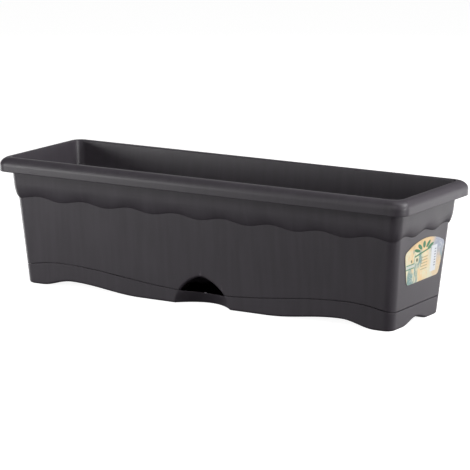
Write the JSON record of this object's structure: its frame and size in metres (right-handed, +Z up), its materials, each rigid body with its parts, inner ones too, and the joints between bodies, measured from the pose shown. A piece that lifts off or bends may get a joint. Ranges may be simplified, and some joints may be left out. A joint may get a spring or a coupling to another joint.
{
  "type": "self watering planter",
  "caption": "Long plastic window box with a rolled rim and a wavy band, standing on a water tray with a front filling scoop; wick cups lift the water into the soil.",
  "frame": {"origin": "centre of the footprint, on the floor that the planter stands on", "axes": "+X along the length, towards the end with the label; -Y is the front with the filling scoop; +Z up"},
  "size_m": [0.6, 0.192, 0.17],
  "materials": {
    "box_resin": "satin anthracite moulded polypropylene with a fine grain",
    "tray_resin": "satin anthracite moulded polypropylene with a fine grain",
    "cup_resin": "matt black moulded polypropylene",
    "wick_felt": "needled off-white felt",
    "label_print": null
  },
  "bodies": {
    "tray": {"reservoir_tray": "tray_resin"},
    "box": {"planter_box": "box_resin", "end_label": "label_print"},
    "wick_1": {"wick_cup_1": "cup_resin", "felt_wick_1": "wick_felt"},
    "wick_2": {"wick_cup_2": "cup_resin", "felt_wick_2": "wick_felt"},
    "wick_3": {"wick_cup_3": "cup_resin", "felt_wick_3": "wick_felt"},
    "wick_4": {"wick_cup_4": "cup_resin", "felt_wick_4": "wick_felt"}
  },
  "joints": [
    {"name": "box_lift", "type": "slide", "parent": "tray", "child": "box", "axis": [0, 0, 1], "range_m": [0, 0.08]},
    {"name": "wick_1_lift", "type": "slide", "parent": "box", "child": "wick_1", "axis": [0, 0, 1], "range_m": [0, 0.18]},
    {"name": "wick_2_lift", "type": "slide", "parent": "box", "child": "wick_2", "axis": [0, 0, 1], "range_m": [0, 0.18]},
    {"name": "wick_3_lift", "type": "slide", "parent": "box", "child": "wick_3", "axis": [0, 0, 1], "range_m": [0, 0.18]},
    {"name": "wick_4_lift", "type": "slide", "parent": "box", "child": "wick_4", "axis": [0, 0, 1], "range_m": [0, 0.18]}
  ]
}
